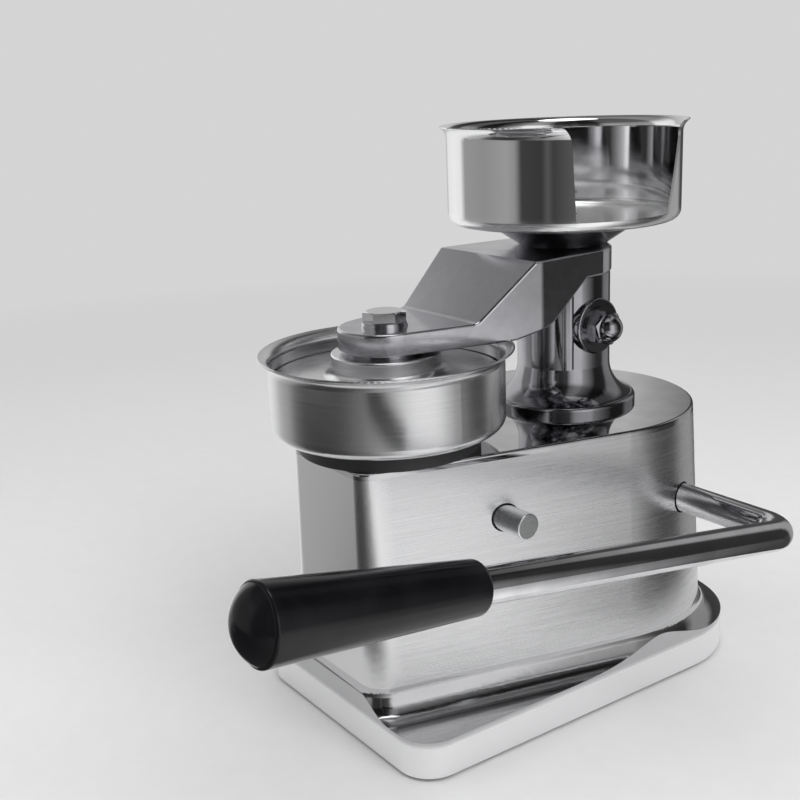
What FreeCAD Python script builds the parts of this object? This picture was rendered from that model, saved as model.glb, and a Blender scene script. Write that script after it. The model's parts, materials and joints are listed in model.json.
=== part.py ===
"""Hand-lever patty press: mould bowl, press head on a lifting arm, paper tray, lever and ejector.

Construction frame, millimetres: X towards the lever side, Y towards the back, Z up. The bowl's
axis is X = 0, Y = 0, and the worktop is Z = 0. Every shape is moved once, at export, so that the
middle of the footprint is the origin.
"""
import FreeCAD, Part
import math
import os

V = FreeCAD.Vector
X = V(1, 0, 0)
Y = V(0, 1, 0)
Z = V(0, 0, 1)

# ---- overall sizes -------------------------------------------------------------------------
COLUMN_Y = 135.5          # lifting column's axis, behind the bowl's axis
DECK_Z = 164.0            # top of the deck

# ---- base ----------------------------------------------------------------------------------
FOOT_CLEAR = 2.0          # skirt's lower edge above the worktop
BASE_TOP_Z = 23.5         # flat top of the base
BASE_FRONT_HALF = 84.0    # half width at the front corners
BASE_REAR_HALF = 88.5     # half width at the rear corners
BASE_FRONT_Y = -46.5
BASE_BEHIND_BODY = 10.7   # rear edge of the base behind the body's, at deck height
BASE_FRONT_R = 20.0       # corner radii in plan
BASE_REAR_R = 60.0
BASE_WALL = 3.0
COVE_R = 14.0             # hollow between body side and base top
COVE_TOP_Z = 39.0         # joint line between base and body sheet
FOOT_R = 12.0
FOOT_X = 64.0             # feet: off the middle, and in from the front and rear edges
FOOT_FROM_FRONT = 20.5
FOOT_FROM_REAR = 43.0

# ---- body sheet (wedge in plan, narrow at the front, round at the back) --------------------
BODY_FRONT_Y = -44.5      # front face at deck height
BODY_FRONT_HALF = 38.0    # half width at the front corner, at deck height
BODY_CORNER_R = 9.0
BODY_REAR_Y = COLUMN_Y - 0.7      # centre of the round back
BODY_REAR_R = 80.5
BASE_REAR_Y = BODY_REAR_Y + BODY_REAR_R + BASE_BEHIND_BODY
BODY_DRAFT = 3.0          # degrees, sides and back, wider towards the base
BODY_FRONT_DRAFT = 0.6    # degrees, front face
BODY_WALL = 2.0
DECK_T = 4.0              # cap plate that closes the body
SHELL_HOLE_GAP = 0.8      # round the lever shaft and the side pin

# ---- lifting column and spindle ------------------------------------------------------------
COLUMN_R = 28.7
COLUMN_H = 82.0
COLUMN_TOP_Z = DECK_Z + COLUMN_H
COLUMN_FOOT_R = 44.5
SPINDLE_R = 12.0
BUSH_WALL = 4.0
COLUMN_BORE_R = SPINDLE_R + BUSH_WALL
SPINDLE_FIT = 0.05        # radial running clearance in the bushes
GUIDE_BELOW_TOP = 31.0    # guide stud and dome nut, below the column's top
GUIDE_Z = COLUMN_TOP_Z - GUIDE_BELOW_TOP
GUIDE_R = 4.0

# ---- drive: lever shaft, pinion, rack ------------------------------------------------------
SHAFT_BELOW_DECK = 50.5
SHAFT_Z = DECK_Z - SHAFT_BELOW_DECK
ROD_R = 8.6               # lever rod and shaft
SHAFT_FIT = 0.05
MODULE = 1.5
PINION_TEETH = 20
PINION_R = MODULE * PINION_TEETH / 2.0
RACK_DEPTH = 5.0          # pitch line of the rack inside the spindle's surface
RACK_Y = COLUMN_Y + SPINDLE_R - RACK_DEPTH
SHAFT_Y = RACK_Y + PINION_R
BACKLASH = 0.16
PINION_HALF_T = 8.0
PINION_HUB_R = 13.0
LIFT_DEG = 100.0
LIFT = PINION_R * math.radians(LIFT_DEG)
SPINDLE_BELOW_DECK = 88.0
SPINDLE_BOTTOM_Z = DECK_Z - SPINDLE_BELOW_DECK
RACK_ABOVE_SHAFT = 23.5

# ---- lever ---------------------------------------------------------------------------------
LEVER_X = 156.0
LEVER_RISE = 0.1619       # rise per length forwards
LEVER_BEND_R = 17.0
GRIP_START_Y = -64.5
GRIP_END_Y = -173.0
GRIP_R_SMALL = 12.6
GRIP_R_BIG = 17.4
GRIP_DOME = 9.0
ROD_IN_GRIP = 80.0        # length of rod inside the grip
TIGHT = 0.03              # radial allowance of a bore that is fixed on its shaft

# ---- ejector linkage -----------------------------------------------------------------------
PIVOT_Y = 35.4            # side pin
PIVOT_BELOW_DECK = 37.7
PIVOT_Z = DECK_Z - PIVOT_BELOW_DECK
PIVOT_R = 7.5
PIVOT_END_X = 77.8
CRANK_L = ROD_R + 21.4    # long enough to carry the link clear of the lever shaft
CRANK_START_DEG = 50.0    # crank and bell crank start this far behind straight down
EJECT_L = 21.0            # lifting arm of the bell crank
ROLLER_R = 6.0
YOKE_GAP = 1.3
EJECT_ROD_R = 8.0
EJECT_FIT = 0.05

# ---- bowl and press head -------------------------------------------------------------------
BOWL_R = 66.5
BOWL_WALL = 1.5
RIM_FLARE = 5.1
BOWL_RIM_R = BOWL_R + RIM_FLARE
NECK_H = 10.0
BOWL_BOTTOM_Z = DECK_Z + NECK_H
BOWL_DEPTH = 45.0
RIM_Z = BOWL_BOTTOM_Z + BOWL_DEPTH
BOWL_CORNER_R = 6.5
BOWL_FLOOR_T = 3.0
NECK_R = 52.0
PLATE_GAP = 1.0           # ejector plate and press head inside the bowl's wall
PLATE_R = BOWL_R - BOWL_WALL - PLATE_GAP
EJECT_PLATE_T = 9.8
EJECT_PLATE_BOTTOM_Z = BOWL_BOTTOM_Z + BOWL_FLOOR_T + 0.2
EJECT_PLATE_TOP_Z = EJECT_PLATE_BOTTOM_Z + EJECT_PLATE_T
HEAD_BELOW_RIM = 20.0
HEAD_T = 7.0
HEAD_BOTTOM_Z = RIM_Z - HEAD_BELOW_RIM
HEAD_TOP_Z = HEAD_BOTTOM_Z + HEAD_T
BOSS_R = 31.0
BOSS_TOP_Z = RIM_Z - 1.0

# ---- arm -----------------------------------------------------------------------------------
ARM_OVER_BOSS = 1.8       # packing between the press head's boss and the arm
ARM_BOTTOM_Z = BOSS_TOP_Z + ARM_OVER_BOSS
TONGUE_T = 12.7
TONGUE_TOP_Z = ARM_BOTTOM_Z + TONGUE_T
ARM_OVER_COLUMN = 2.0     # left under the arm when it is fully down
ARM_REAR_T = 15.0
ARM_REAR_BOTTOM_Z = COLUMN_TOP_Z + ARM_OVER_COLUMN
ARM_TOP_Z = ARM_REAR_BOTTOM_Z + ARM_REAR_T
ARM_TIP_R = 26.5
ARM_WIDEST = 44.4         # half width where the tongue meets the raised part
ARM_REAR_HALF = 40.0      # half width beside the column
ARM_REAR_REACH = 24.0     # behind the column's axis

# ---- paper tray ----------------------------------------------------------------------------
TRAY_R = 70.0
TRAY_RIM_R = 73.5
PEDESTAL_H = 14.0
TRAY_BOTTOM_Z = ARM_TOP_Z + PEDESTAL_H
TRAY_DEPTH = 58.0
TRAY_TOP_Z = TRAY_BOTTOM_Z + TRAY_DEPTH
TRAY_WALL = 1.5
TRAY_CUT_NEAR = -42.5     # cut-out in the wall: near and far edge at the floor, from the axis
TRAY_CUT_FAR = 16.0
TRAY_CUT_NEAR_LEAN = -0.04   # how far each edge leans outwards per height
TRAY_CUT_FAR_LEAN = 0.36
TRAY_CUT_R = 10.0         # round at the rim
PEDESTAL_R = 26.5
PEDESTAL_TOP_R = 43.0
PEDESTAL_EDGE_T = 3.0

NODES = {}


def cylinder(radius, length, at, along=Z):
    return Part.makeCylinder(radius, length, at, along)


def tube(outer, inner, length, at, along=Z):
    return cylinder(outer, length, at, along).cut(cylinder(inner, length, at, along))


def hexagon(flats, length, at, along=Z, turn=0.0):
    """A hexagonal prism of this width across flats."""
    radius = flats / math.sqrt(3)
    points = []
    for i in range(7):
        a = math.radians(60 * i + turn)
        points.append(V(radius * math.cos(a), radius * math.sin(a), 0))
    solid = Part.Face(Part.makePolygon(points)).extrude(V(0, 0, length))
    solid.Placement = FreeCAD.Placement(at, FreeCAD.Rotation(Z, along))
    return solid


def chamfered_hex(flats, length, at, along=Z, turn=0.0):
    """A hexagonal head whose outer corners are turned off."""
    body = hexagon(flats, length, V(0, 0, 0), Z, turn)
    corner = flats / math.sqrt(3)
    cone = Part.makeCone(corner + length * 1.7, flats * 0.475, length)
    solid = body.common(cone)
    solid.Placement = FreeCAD.Placement(at, FreeCAD.Rotation(Z, along))
    return solid


def revolve(profile, at):
    """Turns a closed (radius, z) outline about the vertical line through at. An arc is given by
    a third item in its end point: the point half way along."""
    edges = []
    previous = profile[0]
    for item in list(profile[1:]) + [profile[0]]:
        a = V(previous[0], 0, previous[1])
        b = V(item[0], 0, item[1])
        if len(item) > 2 and item is not profile[0]:
            middle = V(item[2][0], 0, item[2][1])
            edges.append(Part.Arc(a, middle, b).toShape())
        elif a.distanceToPoint(b) > 1e-6:
            edges.append(Part.makeLine(a, b))
        previous = item
    face = Part.Face(Part.Wire(edges))
    solid = face.revolve(V(0, 0, 0), Z, 360)
    solid.translate(at)
    return Part.Solid(solid) if solid.ShapeType != "Solid" else solid


def corner_centre():
    """Centre of the front corner's round at deck height, for a sharp corner at the stated half
    width."""
    taper = math.radians(15.0)
    inset = BODY_CORNER_R * (1 + math.sin(taper)) / math.cos(taper)
    return BODY_FRONT_HALF + BODY_CORNER_R * math.tan(taper) - inset, BODY_FRONT_Y + BODY_CORNER_R


def side_normal(cx, cy, r0, ry, r1):
    """Outward normal of the straight side between a front round and a rear round."""
    dx, dy = -cx, ry - cy
    angle = math.atan2(dy, dx) - math.asin((r1 - r0) / math.hypot(dx, dy))
    return math.sin(angle), -math.cos(angle)


def body_frame(z, inset):
    """The body's plan at height z: front corner centre and radius, rear radius, side normal."""
    cx, cy = corner_centre()
    out = draft(z, BODY_DRAFT) - inset
    cy += draft(z, BODY_DRAFT) - draft(z, BODY_FRONT_DRAFT)
    rf, rr = BODY_CORNER_R + out, BODY_REAR_R + out
    return cx, cy, rf, rr, side_normal(cx, cy, rf, BODY_REAR_Y, rr)


def body_outline(z, inset=0.0):
    """The body's plan outline at height z, moved inwards by inset."""
    cx, cy, rf, rr, (nx, ny) = body_frame(z, inset)
    half = (math.atan2(ny, nx) - math.pi / 2) / 2
    mx, my = math.cos(half), math.sin(half)
    p = [V(-cx, cy - rf, z), V(cx, cy - rf, z), V(cx + rf * nx, cy + rf * ny, z),
         V(rr * nx, BODY_REAR_Y + rr * ny, z), V(-rr * nx, BODY_REAR_Y + rr * ny, z),
         V(-cx - rf * nx, cy + rf * ny, z)]
    edges = [
        Part.makeLine(p[0], p[1]),
        Part.Arc(p[1], V(cx + rf * mx, cy + rf * my, z), p[2]).toShape(),
        Part.makeLine(p[2], p[3]),
        Part.Arc(p[3], V(0, BODY_REAR_Y + rr, z), p[4]).toShape(),
        Part.makeLine(p[4], p[5]),
        Part.Arc(p[5], V(-cx - rf * mx, cy + rf * my, z), p[0]).toShape(),
    ]
    return Part.Wire(edges)


def draft(z, angle):
    """How far a wall with this draft stands out at height z, against its size at the deck."""
    return (DECK_Z - z) * math.tan(math.radians(angle))


def body_block(z0, z1, inset=0.0):
    return Part.makeLoft([body_outline(z0, inset), body_outline(z1, inset)], True, True)


def side_point(share, z, inset):
    """A point this share of the way back along the straight side, this far inside the wall."""
    cx, cy, rf, rr, (nx, ny) = body_frame(z, inset)
    x0, y0 = cx + rf * nx, cy + rf * ny
    x1, y1 = rr * nx, BODY_REAR_Y + rr * ny
    return x0 + (x1 - x0) * share, y0 + (y1 - y0) * share


def rear_point(angle, z, inset):
    """A point on the round back, this many degrees behind square, this far inside the wall."""
    r = body_frame(z, inset)[3]
    return r * math.cos(math.radians(angle)), BODY_REAR_Y + r * math.sin(math.radians(angle))


def base_block(z0, z1, inset=0.0):
    """Plan with small front and large rear corners, slightly wider at the back."""
    wf, wr = BASE_FRONT_HALF - inset, BASE_REAR_HALF - inset
    y0, y1 = BASE_FRONT_Y + inset, BASE_REAR_Y - inset
    rf, rr = BASE_FRONT_R - inset, BASE_REAR_R - inset
    fx, fy, bx, by = wf - rf, y0 + rf, wr - rr, y1 - rr
    along = math.atan2(by - fy, bx - fx) - math.asin((rr - rf) / math.hypot(bx - fx, by - fy))
    nx, ny = math.sin(along), -math.cos(along)
    turn = math.atan2(ny, nx)
    front = (turn - math.pi / 2) / 2
    rear = (turn + math.pi / 2) / 2
    right = [V(fx, y0, z0), V(fx + rf * math.cos(front), fy + rf * math.sin(front), z0),
             V(fx + rf * nx, fy + rf * ny, z0), V(bx + rr * nx, by + rr * ny, z0),
             V(bx + rr * math.cos(rear), by + rr * math.sin(rear), z0), V(bx, y1, z0)]
    left = [V(-p.x, p.y, p.z) for p in right]
    edges = [
        Part.makeLine(left[0], right[0]),
        Part.Arc(right[0], right[1], right[2]).toShape(),
        Part.makeLine(right[2], right[3]),
        Part.Arc(right[3], right[4], right[5]).toShape(),
        Part.makeLine(right[5], left[5]),
        Part.Arc(left[5], left[4], left[3]).toShape(),
        Part.makeLine(left[3], left[2]),
        Part.Arc(left[2], left[1], left[0]).toShape(),
    ]
    return Part.Face(Part.Wire(edges)).extrude(V(0, 0, z1 - z0))


def round_edges(solid, radius, chooser):
    chosen = [e for e in solid.Edges if chooser(e)]
    return solid.makeFillet(radius, chosen)


def at_height(z, tolerance=1e-4):
    def chooser(edge):
        box = edge.BoundBox
        return abs(box.ZMin - z) < tolerance and abs(box.ZMax - z) < tolerance
    return chooser


def keep(name, *shapes):
    NODES[name] = [s for s in shapes]


# ============================================================================================
# Base
# ============================================================================================
slab = Part.makeBox(400, 500, BASE_TOP_Z - FOOT_CLEAR, V(-200, -140, FOOT_CLEAR))
skirt = slab.fuse(body_block(BASE_TOP_Z - 1, COVE_TOP_Z)).removeSplitter()
skirt = round_edges(skirt, COVE_R, lambda e: at_height(BASE_TOP_Z, 1e-3)(e)
                    and abs(e.BoundBox.XMax) < 150 and e.BoundBox.YMin > -130)
skirt = skirt.common(base_block(FOOT_CLEAR, COVE_TOP_Z))
pan = skirt.cut(base_block(FOOT_CLEAR - 1, BASE_TOP_Z - BASE_WALL, BASE_WALL))
pan = pan.cut(body_block(BASE_TOP_Z - BASE_WALL - 1, COVE_TOP_Z + 1, 5.0))
FOOT_AT = [(side * FOOT_X, fy) for fy in (BASE_FRONT_Y + FOOT_FROM_FRONT, BASE_REAR_Y - FOOT_FROM_REAR)
           for side in (-1, 1)]
for fx, fy in FOOT_AT:
    pillar = cylinder(7.5, BASE_TOP_Z - 7.0, V(fx, fy, 7.0))
    pillar = pillar.common(base_block(FOOT_CLEAR, BASE_TOP_Z - 0.5, 0.5))
    pan = pan.fuse(pillar)
    pan = pan.cut(cylinder(2.5, 12.0, V(fx, fy, 6.0)))
    # short post that the bottom cover is held up against by the foot's screw
    pan = pan.fuse(tube(6.0, 2.5, 1.0, V(fx, fy, 6.0)))

cover = base_block(4.0, 6.0, BASE_WALL + 0.5)
for fx, fy in FOOT_AT:
    cover = cover.cut(cylinder(3.2, 4, V(fx, fy, 3)))
keep("bottom_cover", cover)

feet = []
foot_screws = []
for fx, fy in FOOT_AT:
    foot = cylinder(FOOT_R, 4.0, V(fx, fy, 0))
    foot = round_edges(foot, 0.8, at_height(0.0))
    foot = foot.cut(cylinder(5.2, 2.2, V(fx, fy, 0))).cut(cylinder(2.7, 6, V(fx, fy, 0)))
    feet.append(foot)
    screw = cylinder(4.8, 1.4, V(fx, fy, 0.8)).fuse(cylinder(2.5, 14.0, V(fx, fy, 2.2)))
    screw = screw.cut(hexagon(3.0, 1.0, V(fx, fy, 0.7)))
    foot_screws.append(screw)
keep("rubber_feet", *feet)
keep("foot_screws", *foot_screws)

# ============================================================================================
# Body sheet and deck
# ============================================================================================
shell = body_block(COVE_TOP_Z, DECK_Z - DECK_T)
# the lower edge keeps an inward flange, which takes the screws up through the base
FLANGE_T = 2.5
shell = shell.cut(body_block(COVE_TOP_Z + FLANGE_T, DECK_Z - DECK_T + 1, BODY_WALL))
shell = shell.cut(body_block(COVE_TOP_Z - 1, COVE_TOP_Z + FLANGE_T + 1, 11.5))
shell = shell.cut(cylinder(ROD_R + SHELL_HOLE_GAP, 60, V(60, SHAFT_Y, SHAFT_Z), X))
shell = shell.cut(cylinder(PIVOT_R + SHELL_HOLE_GAP, 40, V(45, PIVOT_Y, PIVOT_Z), X))
SCREW_INSET = 6.6
BODY_SCREW_AT = []
for side in (-1, 1):
    for bx, by in (side_point(0.53, COVE_TOP_Z, SCREW_INSET), rear_point(18.0, COVE_TOP_Z, SCREW_INSET),
                   (26.0, body_outline(COVE_TOP_Z, SCREW_INSET).BoundBox.YMin)):
        BODY_SCREW_AT.append((side * bx, by))
body_screws = []
for bx, by in BODY_SCREW_AT:
    lug = cylinder(6.5, COVE_TOP_Z - 33.0, V(bx, by, 33.0))
    lug = lug.common(body_block(30, COVE_TOP_Z, 0.5))
    web = Part.makeBox(13, 13, COVE_TOP_Z - 33.0, V(bx - 6.5 + (6.5 if bx > 0 else -6.5), by - 6.5, 33.0))
    web = web.common(body_block(30, COVE_TOP_Z, 1.0))
    pan = pan.fuse(lug.fuse(web))
    pan = pan.cut(cylinder(2.2, 20, V(bx, by, 28)))
    pan = pan.cut(cylinder(4.3, 12, V(bx, by, 21.0)))
    shell = shell.cut(cylinder(2.0, 6, V(bx, by, COVE_TOP_Z - 1)))
    head = cylinder(4.0, 2.6, V(bx, by, 30.4))
    head = head.cut(hexagon(3.0, 1.6, V(bx, by, 30.3)))
    body_screws.append(head.fuse(cylinder(2.0, COVE_TOP_Z + 2.0 - 33.0, V(bx, by, 33.0))))
keep("base_pan", pan)
keep("body_screws", *body_screws)

deck = body_block(DECK_Z - DECK_T, DECK_Z)
deck = round_edges(deck, 1.6, at_height(DECK_Z, 1e-3))
# a rim under the deck locates it inside the sheet
lip = body_block(DECK_Z - DECK_T - 6, DECK_Z - DECK_T, BODY_WALL + 0.1)
lip = lip.cut(body_block(DECK_Z - DECK_T - 7, DECK_Z - DECK_T + 1, BODY_WALL + 2.6))
deck = deck.fuse(lip)
deck = deck.cut(cylinder(SPINDLE_R + 1.0, 20, V(0, COLUMN_Y, DECK_Z - 12)))
deck = deck.cut(cylinder(EJECT_ROD_R + 5.0, 20, V(0, 0, DECK_Z - 12)))

# ============================================================================================
# Column
# ============================================================================================
column = revolve([
    (0, DECK_Z), (COLUMN_FOOT_R, DECK_Z), (COLUMN_FOOT_R, DECK_Z + 3.0),
    (COLUMN_FOOT_R - 2.5, DECK_Z + 5.5, (COLUMN_FOOT_R - 0.73, DECK_Z + 4.77)),
    (COLUMN_R, DECK_Z + 25.0, (COLUMN_R + 4.0, DECK_Z + 13.0)),
    (COLUMN_R, COLUMN_TOP_Z - 1.5),
    (COLUMN_R - 1.5, COLUMN_TOP_Z, (COLUMN_R - 0.44, COLUMN_TOP_Z - 0.44)),
    (0, COLUMN_TOP_Z),
], V(0, COLUMN_Y, 0))
boss = cylinder(17.0, 31.0, V(0, COLUMN_Y, GUIDE_Z), X)
boss = round_edges(boss, 1.5, lambda e: abs(e.BoundBox.XMin - 31) < 1e-3)
# ridge cast down the front of the column
ridge = Part.makeBox(7, 9, COLUMN_TOP_Z - DECK_Z - 34, V(-3.5, COLUMN_Y - COLUMN_R - 3.0, DECK_Z + 26))
ridge = ridge.makeFillet(2.4, [e for e in ridge.Edges if abs(e.BoundBox.ZLength - (
    COLUMN_TOP_Z - DECK_Z - 34)) < 1e-6 and e.BoundBox.YMax < COLUMN_Y - COLUMN_R])
ridge.rotate(V(0, COLUMN_Y, 0), Z, 52)
column = column.fuse(boss).fuse(ridge)
LOWER_BUSH = (DECK_Z, DECK_Z + 26.0)
UPPER_BUSH = (COLUMN_TOP_Z - 22.0, COLUMN_TOP_Z)
column = column.cut(cylinder(COLUMN_BORE_R, 120, V(0, COLUMN_Y, DECK_Z - 5)))
column = column.cut(cylinder(GUIDE_R, 40, V(5, COLUMN_Y, GUIDE_Z), X))
COLUMN_BOLT_R = 36.0
COLUMN_BOLT_AT = []
for angle in (45, 135, 225, 315):
    a = math.radians(angle)
    COLUMN_BOLT_AT.append((COLUMN_BOLT_R * math.cos(a) * 0.82,
                           COLUMN_Y + COLUMN_BOLT_R * math.sin(a) * 0.82))
BRIDGE_T = 8.0
BRIDGE_TOP = DECK_Z - DECK_T
BRIDGE_BOTTOM = BRIDGE_TOP - BRIDGE_T
column_bolts = []
for bx, by in COLUMN_BOLT_AT:
    column = column.cut(cylinder(3.0, 14, V(bx, by, DECK_Z - 1)))
    deck = deck.cut(cylinder(3.3, 10, V(bx, by, DECK_Z - DECK_T - 1)))
    bolt = cylinder(5.0, 5.0, V(bx, by, BRIDGE_BOTTOM - 5.0))
    bolt = bolt.cut(hexagon(5.0, 3.0, V(bx, by, BRIDGE_BOTTOM - 5.1)))
    bolt = bolt.fuse(cylinder(3.0, DECK_Z + 11 - BRIDGE_BOTTOM, V(bx, by, BRIDGE_BOTTOM)))
    column_bolts.append(bolt)
keep("column_housing", column)
keep("column_bolts", *column_bolts)


def bush(z0, z1, inner):
    return tube(COLUMN_BORE_R, inner, z1 - z0, V(0, COLUMN_Y, z0))


keep("column_bush_lower", bush(LOWER_BUSH[0], LOWER_BUSH[1], SPINDLE_R + SPINDLE_FIT))
keep("column_bush_upper", bush(UPPER_BUSH[0], UPPER_BUSH[1], SPINDLE_R + SPINDLE_FIT))

BOSS_FACE_X = 31.0
keep("dome_washer", tube(12.0, GUIDE_R, 2.0, V(BOSS_FACE_X, COLUMN_Y, GUIDE_Z), X))
nut = chamfered_hex(19.0, 7.0, V(BOSS_FACE_X + 2, COLUMN_Y, GUIDE_Z), X, 15)
dome = Part.makeSphere(8.8, V(BOSS_FACE_X + 7.6, COLUMN_Y, GUIDE_Z))
dome = dome.cut(Part.makeBox(30, 40, 40, V(BOSS_FACE_X + 5.0 - 30, COLUMN_Y - 20, GUIDE_Z - 20)))
nut = nut.fuse(dome).cut(cylinder(GUIDE_R, 10.0, V(BOSS_FACE_X + 1, COLUMN_Y, GUIDE_Z), X))
keep("dome_nut", nut)
keep("guide_stud", cylinder(GUIDE_R, BOSS_FACE_X + 10 - 7.6, V(7.6, COLUMN_Y, GUIDE_Z), X))

# ============================================================================================
# Inner frame: bridge plate, two cheeks, ties
# ============================================================================================
PLATE_X0 = SPINDLE_R + 6.0        # crank and bell crank, beside the spindle
PLATE_X1 = PLATE_X0 + 6.0
LINK_X0 = PLATE_X1 + 0.6
LINK_X1 = LINK_X0 + 4.0
CHEEK_X = LINK_X1 + 3.4           # clear of the heads of the link's pins
CHEEK_T = 6.0
BRIDGE_FRONT = SHAFT_Y - 67.5
BRIDGE_L = 98.0
bridge = Part.makeBox(2 * (CHEEK_X + CHEEK_T), BRIDGE_L, BRIDGE_T,
                      V(-CHEEK_X - CHEEK_T, BRIDGE_FRONT, BRIDGE_BOTTOM))
bridge = bridge.cut(cylinder(SPINDLE_R + 1.0, 20, V(0, COLUMN_Y, BRIDGE_BOTTOM - 5)))
for bx, by in COLUMN_BOLT_AT:
    bridge = bridge.cut(cylinder(3.0, 20, V(bx, by, BRIDGE_BOTTOM - 5)))


SHAFT_BUSH_R = 13.0


def cheek_plate(x0, front):
    """Flat side plate carrying the lever shaft, and on the lever side the side pin too."""
    back = SHAFT_Y + 30.5
    low = SHAFT_Z - 29.5
    outline = [(front, BRIDGE_BOTTOM), (front, low + 24), (front + 14, low + 12), (SHAFT_Y - 45.5, low),
               (back - 8, low), (back, low + 8), (back, BRIDGE_BOTTOM)]
    points = [V(x0, y, z) for y, z in outline]
    plate = Part.Face(Part.makePolygon(points + [points[0]])).extrude(V(CHEEK_T, 0, 0))
    return plate.cut(cylinder(SHAFT_BUSH_R, 20, V(x0 - 5, SHAFT_Y, SHAFT_Z), X))


left = cheek_plate(-CHEEK_X - CHEEK_T, BRIDGE_FRONT + 2.0)
right = cheek_plate(CHEEK_X, PIVOT_Y - 19.4)
right = right.cut(cylinder(PIVOT_R, 20, V(CHEEK_X - 5, PIVOT_Y, PIVOT_Z), X))
window_y = PIVOT_Y + 20.6
window_z = SHAFT_Z - 5.5
window = Part.makeBox(20, SHAFT_Y - 45.5 - window_y, BRIDGE_BOTTOM - 14.0 - window_z,
                      V(CHEEK_X - 5, window_y, window_z))
right = right.cut(window.makeFillet(6, [e for e in window.Edges if abs(e.BoundBox.XLength - 20) < 1e-6]))
frame_screws = []
# the bridge rests on the cheeks' upper edges and is screwed down into them
for sx in (-CHEEK_X - CHEEK_T / 2, CHEEK_X + CHEEK_T / 2):
    for sy in (BRIDGE_FRONT + 8, SHAFT_Y + 22.5):
        bridge = bridge.cut(cylinder(2.0, 20, V(sx, sy, BRIDGE_BOTTOM - 5)))
        bridge = bridge.cut(cylinder(3.9, 4.2, V(sx, sy, BRIDGE_TOP - 4.2)))
        cut = cylinder(2.0, 14, V(sx, sy, BRIDGE_BOTTOM - 12))
        left = left.cut(cut)
        right = right.cut(cut)
        screw = cylinder(3.6, 3.6, V(sx, sy, BRIDGE_TOP - 4.2))
        screw = screw.cut(hexagon(3.0, 2.0, V(sx, sy, BRIDGE_TOP - 2.5)))
        frame_screws.append(screw.fuse(cylinder(2.0, 14.0, V(sx, sy, BRIDGE_TOP - 18.2))))
TIE_AT = [(SHAFT_Y - 47.5, SHAFT_Z + 26.5), (SHAFT_Y + 22.5, SHAFT_Z + 24.5)]
ties = []
tie_screws = []
for ty, tz in TIE_AT:
    tie = cylinder(6.0, 2 * CHEEK_X, V(-CHEEK_X, ty, tz), X)
    tie = tie.cut(cylinder(2.5, 2 * CHEEK_X, V(-CHEEK_X, ty, tz), X))
    ties.append(tie)
    for side in (-1, 1):
        start = V(side * (CHEEK_X + CHEEK_T), ty, tz)
        hole = cylinder(2.5, CHEEK_T + 2, V(side * (CHEEK_X - 1), ty, tz), V(side, 0, 0))
        left = left.cut(hole)
        right = right.cut(hole)
        screw = chamfered_hex(8.0, 3.5, start, V(side, 0, 0))
        tie_screws.append(screw.fuse(cylinder(2.5, CHEEK_T + 14, start, V(-side, 0, 0))))
keep("frame_bridge", bridge)
keep("frame_cheek_left", left)
keep("frame_cheek_right", right)
keep("frame_ties", *ties)
keep("tie_screws", *tie_screws)
keep("frame_screws", *frame_screws)


def shaft_bush(side):
    body = cylinder(SHAFT_BUSH_R, CHEEK_T + 2, V(side * (CHEEK_X - 2), SHAFT_Y, SHAFT_Z), V(side, 0, 0))
    collar = cylinder(SHAFT_BUSH_R + 3.5, 3.0, V(side * (CHEEK_X + CHEEK_T), SHAFT_Y, SHAFT_Z), V(side, 0, 0))
    bore = cylinder(ROD_R + SHAFT_FIT, 40, V(side * (CHEEK_X - 10), SHAFT_Y, SHAFT_Z), V(side, 0, 0))
    return body.fuse(collar).cut(bore)


keep("shaft_bush_left", shaft_bush(-1))
keep("shaft_bush_right", shaft_bush(1))

# side pin: pivot of the bell crank, its end stands out of the body
PIN_START_X = PLATE_X0 - 4.6
pin = cylinder(PIVOT_R, PIVOT_END_X - PIN_START_X, V(PIN_START_X, PIVOT_Y, PIVOT_Z), X)
pin = round_edges(pin, 0.8, lambda e: abs(e.BoundBox.XMin - PIVOT_END_X) < 1e-3)
pin = pin.cut(tube(PIVOT_R + 1, PIVOT_R - 0.9, 1.3, V(PIN_START_X + 1.0, PIVOT_Y, PIVOT_Z), X))
pin = pin.cut(tube(PIVOT_R + 1, PIVOT_R - 0.9, 1.3, V(CHEEK_X + CHEEK_T + 0.1, PIVOT_Y, PIVOT_Z), X))
keep("side_pin", pin)


def circlip(x, radius):
    ring = tube(radius + 3.2, radius - 0.8, 1.1, V(x, PIVOT_Y, PIVOT_Z), X)
    return ring.cut(Part.makeBox(3, 6, 20, V(x - 1, PIVOT_Y - 3, PIVOT_Z - 20)))


keep("side_pin_clips", circlip(PIN_START_X + 1.1, PIVOT_R), circlip(CHEEK_X + CHEEK_T + 0.2, PIVOT_R))

# ============================================================================================
# Mould bowl, neck, ejector bush
# ============================================================================================
def sheet_cup(radius, wall, bottom, floor_t, corner, top, rim, flare):
    """A cup pressed from sheet: round corner at the floor, and a rim that flares outwards."""
    c = math.sqrt(0.5)
    inner = radius - wall
    ri = max(corner - wall, 1.0)
    lower = top - flare
    d = rim - radius
    m_out = (radius + d * 0.30, lower + flare * 0.62)
    m_in = (inner + (d + 0.2) * 0.30, lower + flare * 0.62)
    return [
        (0, bottom), (radius - corner, bottom),
        (radius, bottom + corner, (radius - corner + corner * c, bottom + corner - corner * c)),
        (radius, lower),
        (rim, top - 0.9, (m_out[0] + 0.35, m_out[1] - 0.2)),
        (rim - 0.7, top, (rim + 0.25, top - 0.2)),
        (inner, lower, (m_in[0], m_in[1])),
        (inner, bottom + floor_t + ri),
        (inner - ri, bottom + floor_t, (inner - ri + ri * c, bottom + floor_t + ri - ri * c)),
        (0, bottom + floor_t),
    ]


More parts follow.
